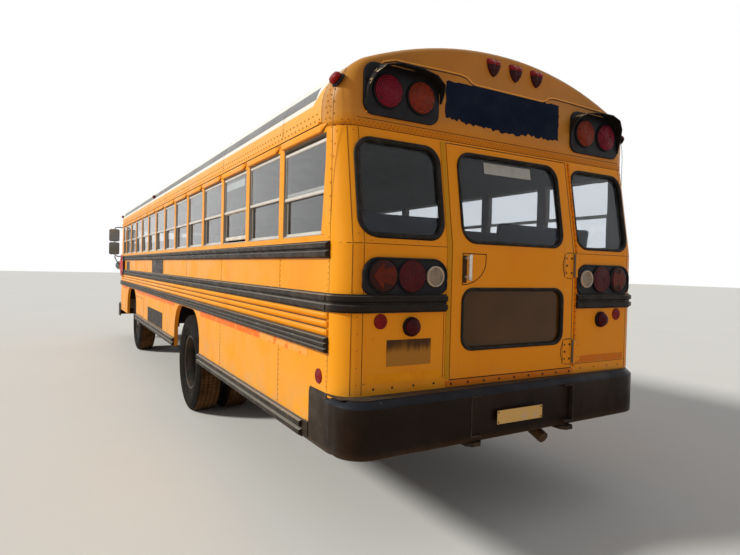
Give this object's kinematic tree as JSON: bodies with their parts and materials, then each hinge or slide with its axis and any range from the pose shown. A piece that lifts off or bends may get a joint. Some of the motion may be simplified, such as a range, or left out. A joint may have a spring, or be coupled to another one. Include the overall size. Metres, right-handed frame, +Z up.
{
  "type": "school bus",
  "caption": "Flat-nosed yellow school bus with white roof, sliding side windows, hinged rear emergency door, folding entry door, stop arm and twin rear wheels.",
  "frame": {"origin": "on the road below the middle of the overall length and width", "axes": "+X forward, +Y to the bus's left, +Z up"},
  "size_m": [10.925, 2.94, 2.99],
  "materials": {
    "body_yellow": "sun-faded gloss paint with chips and dirt",
    "roof_white": "weathered white paint",
    "black_paint": "dull black paint",
    "chassis_black": "dusty black paint",
    "window_glass": "dusty clear glass",
    "tyre_rubber": "worn, dusty",
    "rim_paint": "dirty black paint",
    "lens_red": "moulded lens",
    "lens_amber": "moulded lens",
    "lens_clear": "moulded lens",
    "seat_vinyl": "dark blue-grey vinyl",
    "dash_plastic": "matt moulding",
    "floor_covering": "ribbed rubber sheet on steel",
    "engine_iron": "oily",
    "axle_iron": "dusty",
    "bare_steel": "dull, rust-spotted",
    "sign_red": "faded red paint"
  },
  "bodies": {
    "coach_body": {"side_wall_left": "body_yellow", "side_wall_right": "body_yellow", "roof": "roof_white", "rear_wall": "body_yellow", "rear_cap": "body_yellow", "front_wall": "body_yellow", "front_cap": "body_yellow", "floor": "floor_covering", "wheelhouses": "floor_covering", "rub_rails": "black_paint", "window_sashes": "black_paint", "body_glass": "window_glass", "rear_bumper": "black_paint", "front_bumper": "black_paint", "grille": "black_paint", "seat_cushions": "seat_vinyl", "seat_backs": "seat_vinyl", "seat_boards": "chassis_black", "seat_legs": "chassis_black", "dashboard": "dash_plastic", "steering_wheel": "dash_plastic", "engine_cover": "dash_plastic", "engine": "engine_iron", "frame_rails": "chassis_black", "crossmembers": "chassis_black", "front_axle": "axle_iron", "rear_axle": "axle_iron", "leaf_springs": "axle_iron", "driveshaft": "bare_steel", "fuel_tank": "chassis_black", "battery_box": "chassis_black", "exhaust": "bare_steel", "step_well": "floor_covering", "lamp_housings": "black_paint", "lamps_red": "lens_red", "lamps_amber": "lens_amber", "lamps_clear": "lens_clear", "mirrors": "black_paint", "door_hinges": "bare_steel"},
    "knuckle_left": {"knuckle_left": "axle_iron"},
    "knuckle_right": {"knuckle_right": "axle_iron"},
    "wheel_front_left": {"tyre_front_left": "tyre_rubber", "rim_front_left": "rim_paint"},
    "wheel_front_right": {"tyre_front_right": "tyre_rubber", "rim_front_right": "rim_paint"},
    "wheels_rear_left": {"tyres_rear_left": "tyre_rubber", "rims_rear_left": "rim_paint"},
    "wheels_rear_right": {"tyres_rear_right": "tyre_rubber", "rims_rear_right": "rim_paint"},
    "emergency_door": {"emergency_door": "body_yellow", "emergency_door_glass": "window_glass"},
    "entry_leaf_front": {"entry_door_front": "body_yellow", "entry_glass_front": "window_glass"},
    "entry_leaf_rear": {"entry_door_rear": "body_yellow", "entry_glass_rear": "window_glass"},
    "stop_arm": {"stop_arm": "sign_red"}
  },
  "joints": [
    {"name": "steer_left", "type": "hinge", "parent": "coach_body", "child": "knuckle_left", "pos_m": [3.2325, 0.84, 0.524], "axis": [0, 0, 1], "range_deg": [-35, 35]},
    {"name": "steer_right", "type": "hinge", "parent": "coach_body", "child": "knuckle_right", "pos_m": [3.2325, -0.84, 0.524], "axis": [0, 0, 1], "range_deg": [-35, 35]},
    {"name": "front_left_spin", "type": "hinge", "parent": "knuckle_left", "child": "wheel_front_left", "pos_m": [3.2325, 0.99, 0.524], "axis": [0, 1, 0], "continuous": true},
    {"name": "front_right_spin", "type": "hinge", "parent": "knuckle_right", "child": "wheel_front_right", "pos_m": [3.2325, -0.99, 0.524], "axis": [0, 1, 0], "continuous": true},
    {"name": "rear_left_spin", "type": "hinge", "parent": "coach_body", "child": "wheels_rear_left", "pos_m": [-1.5675, 0.888, 0.524], "axis": [0, 1, 0], "continuous": true},
    {"name": "rear_right_spin", "type": "hinge", "parent": "coach_body", "child": "wheels_rear_right", "pos_m": [-1.5675, -0.888, 0.524], "axis": [0, 1, 0], "continuous": true},
    {"name": "emergency_door_hinge", "type": "hinge", "parent": "coach_body", "child": "emergency_door", "pos_m": [-5.3525, -0.53, 1.38], "axis": [0, 0, 1], "range_deg": [0, 110]},
    {"name": "entry_front_hinge", "type": "hinge", "parent": "coach_body", "child": "entry_leaf_front", "pos_m": [4.8605, -1.233, 1.4], "axis": [0, 0, 1], "range_deg": [0, 88]},
    {"name": "entry_rear_hinge", "type": "hinge", "parent": "coach_body", "child": "entry_leaf_rear", "pos_m": [3.9645, -1.233, 1.4], "axis": [0, 0, 1], "range_deg": [-88, 0]},
    {"name": "stop_arm_hinge", "type": "hinge", "parent": "coach_body", "child": "stop_arm", "pos_m": [4.8875, 1.265, 1.56], "axis": [0, 0, -1], "range_deg": [0, 90]}
  ],
  "couplings": [
    {"joint": "steer_right", "follows": "steer_left", "ratio": 1},
    {"joint": "entry_rear_hinge", "follows": "entry_front_hinge", "ratio": -1}
  ]
}
